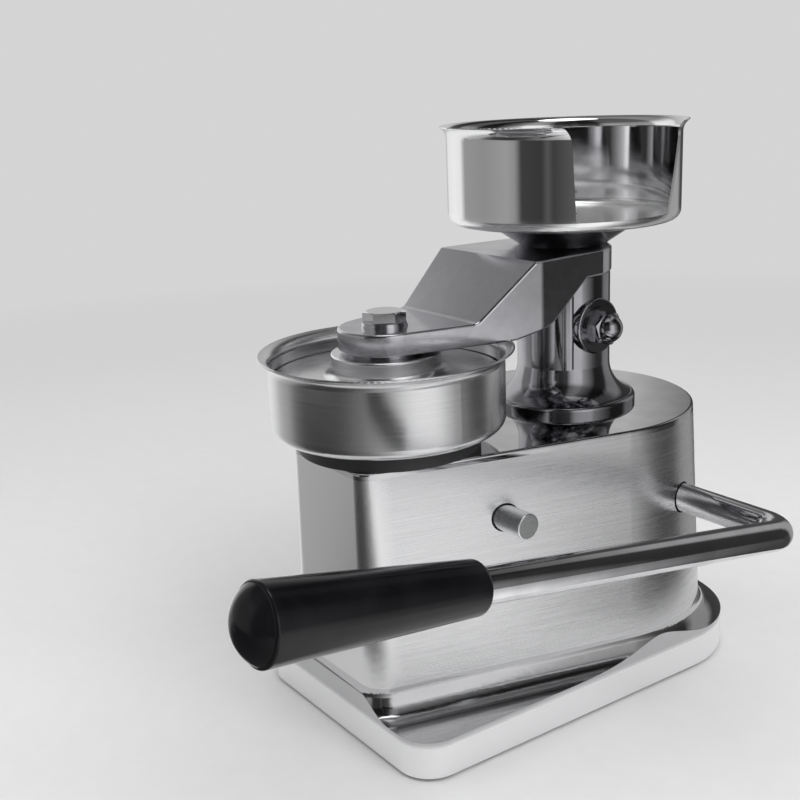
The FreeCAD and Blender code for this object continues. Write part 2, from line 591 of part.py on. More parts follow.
bowl = revolve(sheet_cup(BOWL_R, BOWL_WALL, BOWL_BOTTOM_Z, BOWL_FLOOR_T, BOWL_CORNER_R, RIM_Z,
                         BOWL_RIM_R, 7.0), V(0, 0, 0))
EJECT_BUSH_R = 12.0
bowl = bowl.cut(cylinder(EJECT_BUSH_R, 20, V(0, 0, BOWL_BOTTOM_Z - 5)))
neck = cylinder(NECK_R, BOWL_BOTTOM_Z - DECK_Z, V(0, 0, DECK_Z))
neck = neck.cut(cylinder(EJECT_BUSH_R + 4.0, 30, V(0, 0, DECK_Z - 5)))
bowl_screws = []
for angle in (45, 135, 225, 315):
    a = math.radians(angle)
    bx, by = 27.0 * math.cos(a), 27.0 * math.sin(a)
    head = Part.makeCone(3.0, 6.0, 2.6, V(bx, by, BOWL_BOTTOM_Z + 0.4))
    screw = head.fuse(cylinder(3.0, 20.0, V(bx, by, BOWL_BOTTOM_Z + 0.4 - 20.0)))
    bowl = bowl.cut(head).cut(cylinder(3.0, 8, V(bx, by, BOWL_BOTTOM_Z - 5)))
    neck = neck.cut(cylinder(3.0, 20, V(bx, by, DECK_Z - 5)))
    deck = deck.cut(cylinder(3.0, 20, V(bx, by, DECK_Z - 12)))
    screw = screw.cut(hexagon(4.0, 1.8, V(bx, by, BOWL_BOTTOM_Z + 1.3)))
    bowl_screws.append(screw)
bowl_nuts = []
for angle in (45, 135, 225, 315):
    a = math.radians(angle)
    at = V(27.0 * math.cos(a), 27.0 * math.sin(a), DECK_Z - DECK_T - 5.0)
    bowl_nuts.append(hexagon(10.0, 5.0, at).cut(cylinder(3.0, 10, at - V(0, 0, 2))))
keep("mould_bowl", bowl)
keep("bowl_neck", neck)
keep("bowl_screws", *bowl_screws)
keep("bowl_nuts", *bowl_nuts)
EJECT_BUSH_BOTTOM = DECK_Z - 6.0
ejector_bush = tube(EJECT_BUSH_R, EJECT_ROD_R + EJECT_FIT, BOWL_BOTTOM_Z + BOWL_FLOOR_T - 0.6
                    - EJECT_BUSH_BOTTOM, V(0, 0, EJECT_BUSH_BOTTOM))
ejector_bush = ejector_bush.fuse(tube(EJECT_BUSH_R + 4.0, EJECT_BUSH_R, BOWL_BOTTOM_Z - DECK_Z,
                                      V(0, 0, DECK_Z)))
deck = deck.cut(cylinder(EJECT_BUSH_R, 30, V(0, 0, DECK_Z - 20)))
keep("ejector_bush", ejector_bush)
keep("top_deck", deck)
keep("body_shell", shell)

# ============================================================================================
# Ejector: plate, rod, yoke
# ============================================================================================
plate = cylinder(PLATE_R, EJECT_PLATE_TOP_Z - EJECT_PLATE_BOTTOM_Z, V(0, 0, EJECT_PLATE_BOTTOM_Z))
plate = round_edges(plate, 4.6, at_height(EJECT_PLATE_BOTTOM_Z, 1e-3))
plate = plate.cut(cylinder(6.0, 7.0, V(0, 0, EJECT_PLATE_BOTTOM_Z - 1)))
keep("ejector_plate", plate)
roller_y0 = PIVOT_Y - EJECT_L * math.cos(math.radians(CRANK_START_DEG))
roller_z0 = PIVOT_Z - EJECT_L * math.sin(math.radians(CRANK_START_DEG))
YOKE_Z = roller_z0 + ROLLER_R + YOKE_GAP
YOKE_T = 7.0
rod = cylinder(EJECT_ROD_R, EJECT_PLATE_BOTTOM_Z - YOKE_Z - YOKE_T, V(0, 0, YOKE_Z + YOKE_T))
rod = rod.fuse(cylinder(6.0, 6.0, V(0, 0, EJECT_PLATE_BOTTOM_Z)))
rod = rod.fuse(cylinder(5.0, YOKE_T + 8.0, V(0, 0, YOKE_Z - 8.0)))
keep("ejector_rod", rod)
yoke = Part.makeBox(24.4, 37.0, YOKE_T, V(-12, -12, YOKE_Z))
yoke = yoke.makeFillet(4, [e for e in yoke.Edges if abs(e.BoundBox.ZLength - YOKE_T) < 1e-6])
yoke = yoke.cut(cylinder(5.0, 20, V(0, 0, YOKE_Z - 5)))
keep("ejector_yoke", yoke)
yoke_nut = chamfered_hex(15.0, 6.0, V(0, 0, YOKE_Z), -Z).cut(cylinder(5.0, 10, V(0, 0, YOKE_Z - 8)))
keep("yoke_nut", yoke_nut)

# ============================================================================================
# Bell crank, link bar, crank on the lever shaft
# ============================================================================================


def bar(y0, z0, r0, y1, z1, r1, x0, x1):
    """A flat bar with round ends, as two discs joined by a straight web."""
    d = math.hypot(y1 - y0, z1 - z0)
    uy, uz = (y1 - y0) / d, (z1 - z0) / d
    w = min(r0, r1) * 0.86
    points = [V(x0, y0 - uz * w, z0 + uy * w), V(x0, y1 - uz * w, z1 + uy * w),
              V(x0, y1 + uz * w, z1 - uy * w), V(x0, y0 + uz * w, z0 - uy * w)]
    web = Part.Face(Part.makePolygon(points + [points[0]])).extrude(V(x1 - x0, 0, 0))
    a = cylinder(r0, x1 - x0, V(x0, y0, z0), X)
    b = cylinder(r1, x1 - x0, V(x0, y1, z1), X)
    return web.fuse(a).fuse(b).removeSplitter()


start = math.radians(CRANK_START_DEG)
crank_y = SHAFT_Y + CRANK_L * math.sin(start)
crank_z = SHAFT_Z - CRANK_L * math.cos(start)
bell_y = PIVOT_Y + CRANK_L * math.sin(start)
bell_z = PIVOT_Z - CRANK_L * math.cos(start)
LINK_PIN_R = 4.0

CRANK_HUB_R = 14.0
crank = bar(SHAFT_Y, SHAFT_Z, CRANK_HUB_R, crank_y, crank_z, 8.0, PLATE_X0, PLATE_X1)
crank = crank.fuse(cylinder(CRANK_HUB_R, 9.0, V(PLATE_X0 - 9.0, SHAFT_Y, SHAFT_Z), X))
crank = crank.cut(cylinder(ROD_R + TIGHT, 40, V(0, SHAFT_Y, SHAFT_Z), X))
crank = crank.cut(cylinder(LINK_PIN_R, 20, V(PLATE_X0 - 5, crank_y, crank_z), X))
crank = crank.cut(cylinder(2.5, 20, V(PLATE_X0 - 4.5, SHAFT_Y + 6, SHAFT_Z), Y))
keep("crank_arm", crank)
crank_setscrew = cylinder(2.5, CRANK_HUB_R - 0.2 - ROD_R, V(PLATE_X0 - 4.5, SHAFT_Y + ROD_R, SHAFT_Z), Y)
crank_setscrew = crank_setscrew.cut(hexagon(2.5, 2.0, V(PLATE_X0 - 4.5, SHAFT_Y + CRANK_HUB_R - 2.0, SHAFT_Z), Y))
keep("crank_setscrew", crank_setscrew)


def link_pin(y, z):
    """Shouldered rivet: held tight in the crank plate, runs in the link bar."""
    body = cylinder(LINK_PIN_R, LINK_X1 + 0.4 - PLATE_X0, V(PLATE_X0, y, z), X)
    return body.fuse(cylinder(6.5, 1.8, V(LINK_X1 + 0.4, y, z), X))


keep("crank_pin", link_pin(crank_y, crank_z))
keep("bell_crank_pin", link_pin(bell_y, bell_z))
link = bar(crank_y, crank_z, 8.0, bell_y, bell_z, 8.0, LINK_X0, LINK_X1)
link = link.cut(cylinder(LINK_PIN_R + 0.05, 20, V(LINK_X0 - 5, crank_y, crank_z), X))
link = link.cut(cylinder(LINK_PIN_R + 0.05, 20, V(LINK_X0 - 5, bell_y, bell_z), X))
keep("link_bar", link)

bell = bar(PIVOT_Y, PIVOT_Z, 12.0, bell_y, bell_z, 8.0, PLATE_X0, PLATE_X1)
bell = bell.fuse(bar(PIVOT_Y, PIVOT_Z, 12.0, roller_y0, roller_z0, 7.5, PLATE_X0, PLATE_X1))
bell = bell.fuse(cylinder(12.0, 2.1, V(PLATE_X0 - 2.1, PIVOT_Y, PIVOT_Z), X))
bell = bell.cut(cylinder(PIVOT_R + 0.05, 40, V(0, PIVOT_Y, PIVOT_Z), X))
bell = bell.cut(cylinder(LINK_PIN_R, 20, V(PLATE_X0 - 5, bell_y, bell_z), X))
bell = bell.cut(cylinder(3.5, 20, V(PLATE_X0 - 5, roller_y0, roller_z0), X))
ROLLER_CLEAR = 0.05
keep("bell_crank", bell.removeSplitter())
spacer = tube(PIVOT_R + 4, PIVOT_R + 0.05, CHEEK_X - PLATE_X1 - 0.2, V(PLATE_X1 + 0.1, PIVOT_Y, PIVOT_Z), X)
keep("bell_crank_spacer", spacer)
axle = cylinder(3.5, PLATE_X1 - 3.0, V(3.0, roller_y0, roller_z0), X)
axle = axle.fuse(cylinder(4.8, 1.2, V(1.8, roller_y0, roller_z0), X))
keep("roller_axle", axle)
roller = tube(ROLLER_R, 3.5 + ROLLER_CLEAR, 9.0, V(3.2, roller_y0, roller_z0), X)
keep("lift_roller", roller)

# ============================================================================================
# Pinion and spindle rack
# ============================================================================================
def involute_pinion(x0, x1):
    """Spur pinion with involute flanks, one tooth pointing forwards."""
    rb = PINION_R * math.cos(math.radians(20))
    ra = PINION_R + MODULE * 0.95
    rf = PINION_R - MODULE * 1.25
    inv = math.tan(math.radians(20)) - math.radians(20)
    half = math.pi / (2 * PINION_TEETH) - BACKLASH / (2 * PINION_R) + inv
    flank = []
    for i in range(7):
        r = rb + (ra - rb) * i / 6.0
        phi = math.acos(min(1.0, rb / r))
        flank.append((r, half - (math.tan(phi) - phi)))
    edges = []
    first = None
    last = None
    for k in range(PINION_TEETH):
        mid = math.pi + 2 * math.pi * k / PINION_TEETH

        def at(r, a):
            return V(x0, SHAFT_Y + r * math.cos(mid + a), SHAFT_Z + r * math.sin(mid + a))
        left_side = [at(r, -a) for r, a in flank]
        right_side = [at(r, a) for r, a in reversed(flank)]
        root_a = at(rf, -half)
        root_b = at(rf, half)
        if last is not None:
            edges.append(Part.makeLine(last, root_a))
        else:
            first = root_a
        edges.append(Part.makeLine(root_a, left_side[0]))
        curve = Part.BSplineCurve()
        curve.interpolate(left_side)
        edges.append(curve.toShape())
        edges.append(Part.makeLine(left_side[-1], right_side[0]))
        curve = Part.BSplineCurve()
        curve.interpolate(right_side)
        edges.append(curve.toShape())
        edges.append(Part.makeLine(right_side[-1], root_b))
        last = root_b
    edges.append(Part.makeLine(last, first))
    return Part.Face(Part.Wire(edges)).extrude(V(x1 - x0, 0, 0))


pinion = involute_pinion(-PINION_HALF_T, PINION_HALF_T)
hub = cylinder(PINION_HUB_R, 12.0, V(-PINION_HALF_T - 12.0, SHAFT_Y, SHAFT_Z), X)
pinion = pinion.fuse(hub).cut(cylinder(ROD_R + TIGHT, 60, V(-30, SHAFT_Y, SHAFT_Z), X))
pinion = pinion.cut(cylinder(2.5, 20, V(-14, SHAFT_Y, SHAFT_Z + 6), Z))
keep("drive_pinion", pinion)
setscrew = cylinder(2.5, PINION_HUB_R - 0.2 - ROD_R, V(-14, SHAFT_Y, SHAFT_Z + ROD_R), Z)
setscrew = setscrew.cut(hexagon(2.5, 2.0, V(-14, SHAFT_Y, SHAFT_Z + PINION_HUB_R - 2.0)))
keep("pinion_setscrew", setscrew)

SPINDLE_TOP_Z = ARM_TOP_Z - 3.0
spindle = cylinder(SPINDLE_R, SPINDLE_TOP_Z - SPINDLE_BOTTOM_Z, V(0, COLUMN_Y, SPINDLE_BOTTOM_Z))
RACK_TOP_Z = SHAFT_Z + RACK_ABOVE_SHAFT
tip_y = RACK_Y + MODULE * 0.95
root_y = RACK_Y - MODULE * 1.25
spindle = spindle.cut(Part.makeBox(40, 20, RACK_TOP_Z - SPINDLE_BOTTOM_Z + 18, V(-20, tip_y, SPINDLE_BOTTOM_Z - 18)))
pitch = math.pi * MODULE
slots = []
tan20 = math.tan(math.radians(20))
for k in range(-8, 4):
    zc = SHAFT_Z + k * pitch
    half_pitch = pitch / 4 + BACKLASH / 2
    wide = half_pitch + (tip_y - RACK_Y) * tan20
    narrow = half_pitch - (RACK_Y - root_y) * tan20
    extra = 1.0
    if zc + wide + 1 > RACK_TOP_Z or zc - wide - 1 < SPINDLE_BOTTOM_Z:
        continue
    points = [V(-20, tip_y + extra, zc - wide - extra * tan20), V(-20, root_y, zc - narrow),
              V(-20, root_y, zc + narrow), V(-20, tip_y + extra, zc + wide + extra * tan20)]
    slots.append(Part.Face(Part.makePolygon(points + [points[0]])).extrude(V(40, 0, 0)))
for slot in slots:
    spindle = spindle.cut(slot)
SLOT_HALF = GUIDE_R + 0.05
keyway = Part.makeBox(8, 2 * SLOT_HALF, LIFT, V(7.2, COLUMN_Y - SLOT_HALF, GUIDE_Z - LIFT - 0.2))
keyway = keyway.fuse(cylinder(SLOT_HALF, 8, V(7.2, COLUMN_Y, GUIDE_Z - LIFT - 0.2), X))
keyway = keyway.fuse(cylinder(SLOT_HALF, 8, V(7.2, COLUMN_Y, GUIDE_Z), X))
keyway = keyway.fuse(Part.makeBox(8, 2 * SLOT_HALF, 0.4, V(7.2, COLUMN_Y - SLOT_HALF, GUIDE_Z - 0.3)))
spindle = spindle.cut(keyway)
spindle = spindle.cut(cylinder(4.0, 30, V(0, COLUMN_Y, SPINDLE_TOP_Z - 26)))
keep("spindle", spindle)

# ============================================================================================
# Arm, press head, head bolt
# ============================================================================================
def arm_side(points):
    """The arm's side view, drawn at the middle and extruded to both sides."""
    outline = [V(-80, y, z) for y, z in points]
    return Part.Face(Part.makePolygon(outline + [outline[0]])).extrude(V(160, 0, 0))


CREASE_Y = COLUMN_Y - 97.5         # where the tongue turns up
SHOULDER_Y = COLUMN_Y - 61.5       # front edge of the raised top
BEND_LOW_Y = COLUMN_Y - 49.5       # bend in the underside
side = arm_side([
    (-60, ARM_BOTTOM_Z), (COLUMN_Y - 73.5, ARM_BOTTOM_Z), (BEND_LOW_Y, ARM_BOTTOM_Z + 5.7),
    (COLUMN_Y - 19.5, ARM_REAR_BOTTOM_Z), (COLUMN_Y + 64.5, ARM_REAR_BOTTOM_Z),
    (COLUMN_Y + 64.5, ARM_TOP_Z), (SHOULDER_Y, ARM_TOP_Z), (CREASE_Y, TONGUE_TOP_Z),
    (-60, TONGUE_TOP_Z),
])
bend_top = [e for e in side.Edges if abs(e.BoundBox.XLength - 160) < 1e-6
            and abs(e.BoundBox.YMin - CREASE_Y) < 1e-3]
side = side.makeFillet(7.0, bend_top)
bend_low = [e for e in side.Edges if abs(e.BoundBox.XLength - 160) < 1e-3
            and abs(e.BoundBox.YMin - BEND_LOW_Y) < 1e-3]
side = side.makeFillet(10.0, bend_low)
PLAN_Z = ARM_BOTTOM_Z - 19.8        # the outline seen from above is extruded through the side view
PLAN_H = ARM_TOP_Z + 27.0 - PLAN_Z
WIDEST_Y = COLUMN_Y - 57.5
t0 = math.radians(-12.5)
tip = [V(ARM_TIP_R * math.cos(t0), ARM_TIP_R * math.sin(t0), PLAN_Z)]
plan_points = [V(ARM_WIDEST, WIDEST_Y, PLAN_Z), V(ARM_REAR_HALF, COLUMN_Y - 6, PLAN_Z)]
edges = [Part.Arc(V(-tip[0].x, tip[0].y, PLAN_Z), V(0, -ARM_TIP_R, PLAN_Z), tip[0]).toShape()]
chain = tip + plan_points
for a, b in zip(chain[:-1], chain[1:]):
    edges.append(Part.makeLine(a, b))
end = plan_points[-1]
edges.append(Part.Arc(end, V(0, COLUMN_Y + ARM_REAR_REACH, PLAN_Z), V(-end.x, end.y, PLAN_Z)).toShape())
mirrored = [V(-p.x, p.y, PLAN_Z) for p in reversed(chain)]
for a, b in zip(mirrored[:-1], mirrored[1:]):
    edges.append(Part.makeLine(a, b))
plan = Part.Face(Part.Wire(edges)).extrude(V(0, 0, PLAN_H))
plan = plan.makeFillet(9.0, [e for e in plan.Edges if abs(e.BoundBox.ZLength - PLAN_H) < 1e-6
                             and abs(e.BoundBox.YMin - WIDEST_Y) < 1e-3])
arm = side.common(plan).removeSplitter()
arm = arm.Solids[0]


def long_edges(solid):
    """Edges of the arm that a hand would meet: all but the uprights at the sides."""
    found = []
    for e in solid.Edges:
        b = e.BoundBox
        across = b.XLength > 30 and b.ZLength < 1e-6 and b.YLength < 1e-6
        upright = b.ZLength > 3 and b.XLength < 0.5 and b.YLength < 0.5
        if not across and not upright:
            found.append(e)
    return found


arm = arm.makeFillet(1.6, long_edges(arm)).Solids[0]
socket = cylinder(SPINDLE_R + TIGHT, SPINDLE_TOP_Z - PLAN_Z, V(0, COLUMN_Y, PLAN_Z))
arm = arm.cut(socket)
# hollow over the top of the column
arm = arm.cut(cylinder(COLUMN_R + 1.5, ARM_REAR_BOTTOM_Z - PLAN_Z, V(0, COLUMN_Y, PLAN_Z)))
arm = arm.cut(cylinder(5.0, 20, V(0, COLUMN_Y, SPINDLE_TOP_Z - 5)))
arm = arm.cut(cylinder(6.0, 60, V(0, 0, PLAN_Z)))
keep("swing_arm", arm)

head = cylinder(PLATE_R, HEAD_TOP_Z - HEAD_BOTTOM_Z, V(0, 0, HEAD_BOTTOM_Z))
head = round_edges(head, 1.2, at_height(HEAD_BOTTOM_Z, 1e-3))
head = head.fuse(cylinder(BOSS_R, BOSS_TOP_Z - HEAD_TOP_Z, V(0, 0, HEAD_TOP_Z))).removeSplitter()
head = round_edges(head, 5.0, lambda e: at_height(HEAD_TOP_Z, 1e-3)(e)
                   and abs(e.BoundBox.XMax - BOSS_R) < 0.5)
head = round_edges(head, 1.0, at_height(BOSS_TOP_Z, 1e-3))
head = head.cut(cylinder(6.0, 14.0, V(0, 0, BOSS_TOP_Z - 13.0)))
keep("press_head", head)
PACK_R = 20.0
keep("head_spacer", tube(PACK_R, 6.0, ARM_BOTTOM_Z - BOSS_TOP_Z, V(0, 0, BOSS_TOP_Z)))
WASHER_T = 1.25
keep("head_washers",
     tube(13.0, 6.0, WASHER_T, V(0, 0, TONGUE_TOP_Z)),
     tube(12.5, 6.0, WASHER_T, V(0, 0, TONGUE_TOP_Z + WASHER_T)))
bolt_seat = TONGUE_TOP_Z + 2 * WASHER_T
head_bolt = chamfered_hex(21.0, 5.8, V(0, 0, bolt_seat), Z, -5)
head_bolt = head_bolt.fuse(cylinder(6.0, bolt_seat - BOSS_TOP_Z + 12.0, V(0, 0, BOSS_TOP_Z - 12.0)))
keep("head_bolt", head_bolt)

# ============================================================================================
# Paper tray
# ============================================================================================
pedestal = revolve([
    (0, ARM_TOP_Z), (PEDESTAL_R, ARM_TOP_Z), (PEDESTAL_TOP_R, TRAY_BOTTOM_Z - PEDESTAL_EDGE_T),
    (PEDESTAL_TOP_R, TRAY_BOTTOM_Z), (0, TRAY_BOTTOM_Z),
], V(0, COLUMN_Y, 0))
pedestal = pedestal.cut(cylinder(4.0, 40, V(0, COLUMN_Y, ARM_TOP_Z - 5)))
keep("tray_pedestal", pedestal)
tray = revolve(sheet_cup(TRAY_R, TRAY_WALL, TRAY_BOTTOM_Z, TRAY_WALL, 6.0, TRAY_TOP_Z,
                         TRAY_RIM_R, 7.0), V(0, COLUMN_Y, 0))


def edge_at(start, lean, z):
    return COLUMN_Y + start + lean * (z - TRAY_BOTTOM_Z)


def tray_cut_side(start, lean, sign, z0, z1):
    """Upright edge of the cut-out, and the round that carries it into the rim."""
    y0, y1 = edge_at(start, lean, z0), edge_at(start, lean, z1)
    r = TRAY_CUT_R
    c = math.sqrt(0.5)
    return [V(0, y0, z0), V(0, y1, z1), V(0, y1 + sign * r * (1 - c), z1 + r * c),
            V(0, y1 + sign * r, z1 + r), V(0, y1 + sign * r, z1 + r + 5)]


z0, z1 = TRAY_BOTTOM_Z + 6.0, TRAY_TOP_Z - TRAY_CUT_R
near = tray_cut_side(TRAY_CUT_NEAR, TRAY_CUT_NEAR_LEAN, -1, z0, z1)
far = tray_cut_side(TRAY_CUT_FAR, TRAY_CUT_FAR_LEAN, 1, z0, z1)
edges = [Part.makeLine(near[0], near[1]), Part.Arc(near[1], near[2], near[3]).toShape(),
         Part.makeLine(near[3], near[4]), Part.makeLine(near[4], far[4]),
         Part.makeLine(far[4], far[3]), Part.Arc(far[3], far[2], far[1]).toShape(),
         Part.makeLine(far[1], far[0]), Part.makeLine(far[0], near[0])]
tray = tray.cut(Part.Face(Part.Wire(edges)).extrude(V(100, 0, 0)))
tray = tray.cut(cylinder(4.0, 20, V(0, COLUMN_Y, TRAY_BOTTOM_Z - 5)))
pieces = sorted(tray.Solids, key=lambda s: -s.Volume)
keep("paper_tray", pieces[0])
tray_screw = cylinder(9.0, 2.4, V(0, COLUMN_Y, TRAY_BOTTOM_Z + TRAY_WALL))
tray_screw = round_edges(tray_screw, 1.5, at_height(TRAY_BOTTOM_Z + TRAY_WALL + 2.4, 1e-3))
tray_screw = tray_screw.fuse(cylinder(4.0, 42.0, V(0, COLUMN_Y, TRAY_BOTTOM_Z + TRAY_WALL - 42.0)))
tray_screw = tray_screw.cut(hexagon(5.0, 2.0, V(0, COLUMN_Y, TRAY_BOTTOM_Z + TRAY_WALL + 0.9)))
keep("tray_screw", tray_screw)

# ============================================================================================
# Lever: bent rod, grip
# ============================================================================================
rise = math.atan(LEVER_RISE)
forward = V(0, -math.cos(rise), math.sin(rise))
corner = V(LEVER_X, SHAFT_Y, SHAFT_Z)
SHAFT_START_X = -CHEEK_X - CHEEK_T - 4.0
rod_end_length = (SHAFT_Y - GRIP_START_Y) / math.cos(rise) + ROD_IN_GRIP
p0 = V(SHAFT_START_X, SHAFT_Y, SHAFT_Z)
p1 = corner - X * LEVER_BEND_R
p2 = corner + forward * LEVER_BEND_R
p3 = corner + forward * rod_end_length
centre = corner - X * LEVER_BEND_R + forward * LEVER_BEND_R
outward = (corner - centre)
outward.normalize()
middle = centre + outward * LEVER_BEND_R
path = Part.Wire([Part.makeLine(p0, p1), Part.Arc(p1, middle, p2).toShape(), Part.makeLine(p2, p3)])
section = Part.Wire([Part.makeCircle(ROD_R, p0, X)])
lever = path.makePipeShell([section], True, False)
groove = tube(ROD_R + 2, ROD_R - 1.0, 1.5, V(-CHEEK_X - CHEEK_T - 3.3, SHAFT_Y, SHAFT_Z), -X)
lever = lever.cut(groove)
clip = tube(ROD_R + 4.0, ROD_R - 0.9, 1.2, V(-CHEEK_X - CHEEK_T - 3.4, SHAFT_Y, SHAFT_Z), -X)
clip = clip.cut(Part.makeBox(4, 7, 20, V(-CHEEK_X - CHEEK_T - 6.0, SHAFT_Y - 3.5, SHAFT_Z - 20)))
keep("shaft_clip", clip)


def along_lever(y):
    """The point on the lever's axis at this Y."""
    return V(LEVER_X, y, SHAFT_Z + (SHAFT_Y - y) * LEVER_RISE)


grip_a = along_lever(GRIP_START_Y)
grip_b = along_lever(GRIP_END_Y)
length = grip_a.distanceToPoint(grip_b)
EDGE_R = 1.2
profile = [
    (0, 0), (GRIP_R_SMALL - 3.0, 0),
    (GRIP_R_SMALL, 3.0, (GRIP_R_SMALL - 0.88, 0.88)),
    (GRIP_R_BIG, length - EDGE_R),
    (GRIP_R_BIG - EDGE_R, length + 0.55, (GRIP_R_BIG - 0.25, length - 0.1)),
]
arc_mid_r = GRIP_R_BIG * 0.52
base_r = GRIP_R_BIG - EDGE_R
rise_h = GRIP_DOME - 0.55
dome_r = (base_r ** 2 + rise_h ** 2) / (2 * rise_h)
arc_mid_h = length + 0.55 + math.sqrt(dome_r ** 2 - arc_mid_r ** 2) - (dome_r - rise_h)
profile.append((0, length + GRIP_DOME, (arc_mid_r, arc_mid_h)))
grip = revolve(profile, V(0, 0, 0))
grip.Placement = FreeCAD.Placement(grip_a, FreeCAD.Rotation(Z, forward))
grip = grip.cut(cylinder(ROD_R + TIGHT, ROD_IN_GRIP, grip_a, forward))
# a screw through the grip's underside pins it to the rod
pin_at = grip_a + forward * 22.0
down = V(0, -math.sin(rise), -math.cos(rise))
GRIP_PIN_L = GRIP_R_SMALL - 0.6
grip_pin = cylinder(2.0, GRIP_PIN_L, pin_at, down)
grip_screw_hole = cylinder(2.0, ROD_R + 30, pin_at, down)
keep("handle_grip", grip.cut(grip_screw_hole))
keep("handle_rod", lever.cut(grip_pin))
keep("grip_pin", grip_pin)

# ============================================================================================
# Export
# ============================================================================================
everything = Part.makeCompound([s for shapes in NODES.values() for s in shapes])
box = everything.optimalBoundingBox(False)
shift = V(-(box.XMin + box.XMax) / 2.0, -(box.YMin + box.YMax) / 2.0, 0)
shift = V(round(shift.x, 2), round(shift.y, 2), 0)
print("size", round(box.XLength, 2), round(box.YLength, 2), round(box.ZLength, 2), "shift", shift)
print("z", box.ZMin, box.ZMax)

os.makedirs("parts", exist_ok=True)
for name, shapes in NODES.items():
    solids = []
    for shape in shapes:
        solids += shape.Solids
    for solid in solids:
        solid.translate(shift)
    whole = solids[0] if len(solids) == 1 else Part.makeCompound(solids)
    if len(solids) != len(shapes):
        print("piece count", name, len(shapes), len(solids))
    if not whole.isValid():
        print("not valid", name)
    whole.exportStep("parts/" + name + ".step")
print(len(NODES), "nodes")
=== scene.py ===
"""A hand-lever patty press: materials, studio and camera. All lengths are metres."""
import bpy
import json
import math
from mathutils import Matrix, Vector

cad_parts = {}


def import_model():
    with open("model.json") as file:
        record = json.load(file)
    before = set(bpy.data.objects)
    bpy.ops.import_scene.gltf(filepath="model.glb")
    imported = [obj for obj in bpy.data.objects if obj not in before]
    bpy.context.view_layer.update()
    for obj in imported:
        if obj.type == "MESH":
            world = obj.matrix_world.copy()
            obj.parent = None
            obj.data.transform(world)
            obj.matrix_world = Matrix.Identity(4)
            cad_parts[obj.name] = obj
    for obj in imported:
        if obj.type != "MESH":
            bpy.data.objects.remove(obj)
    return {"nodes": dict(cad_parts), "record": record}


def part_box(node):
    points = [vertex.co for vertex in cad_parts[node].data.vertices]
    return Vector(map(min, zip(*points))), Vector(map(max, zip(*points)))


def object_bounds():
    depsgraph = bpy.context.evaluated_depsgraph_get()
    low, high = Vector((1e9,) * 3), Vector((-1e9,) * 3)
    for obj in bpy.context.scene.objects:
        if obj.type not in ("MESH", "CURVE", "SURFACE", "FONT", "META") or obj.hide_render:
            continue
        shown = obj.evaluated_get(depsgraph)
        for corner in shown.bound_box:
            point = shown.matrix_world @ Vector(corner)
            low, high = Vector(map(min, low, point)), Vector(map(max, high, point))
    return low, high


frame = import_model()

CAD_BOX = [list(corner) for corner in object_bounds()]
NODE = frame["nodes"]
scene = bpy.context.scene

# ---- places taken from the frame --------------------------------------------------------------
bowl_low, bowl_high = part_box("mould_bowl")
column_low, column_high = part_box("column_bush_upper")
body_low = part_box("body_shell")[0]
base_low, base_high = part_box("base_pan")
tray_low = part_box("paper_tray")[0]
BOWL_AXIS = ((bowl_low.x + bowl_high.x) / 2, (bowl_low.y + bowl_high.y) / 2, 0)
COLUMN_AXIS = ((column_low.x + column_high.x) / 2, (column_low.y + column_high.y) / 2, 0)
WORKTOP_Z = CAD_BOX[0][2]

# ---- camera -----------------------------------------------------------------------------------
CAMERA_AT = (0.4690, -0.3740, 0.3644)
CAMERA_AZIMUTH = 54.83
CAMERA_PITCH = 15.78
CAMERA_ROLL = -2.41
CAMERA_LENS = 51.38
CAMERA_SENSOR = 36.0


def add_camera():
    az = math.radians(CAMERA_AZIMUTH)
    pitch = math.radians(CAMERA_PITCH)
    roll = math.radians(CAMERA_ROLL)
    ahead = Vector((-math.sin(az) * math.cos(pitch), math.cos(az) * math.cos(pitch), -math.sin(pitch)))
    level = Vector((math.cos(az), math.sin(az), 0))
    above = level.cross(ahead)
    right = level * math.cos(roll) + above * math.sin(roll)
    up = above * math.cos(roll) - level * math.sin(roll)
    data = bpy.data.cameras.new("camera")
    data.sensor_width = CAMERA_SENSOR
    data.lens = CAMERA_LENS
    data.clip_start = 0.01
    data.clip_end = 50.0
    camera = bpy.data.objects.new("camera", data)
    scene.collection.objects.link(camera)
    turn = Matrix((right, up, -ahead)).transposed().to_4x4()
    camera.matrix_world = Matrix.Translation(CAMERA_AT) @ turn
    scene.camera = camera


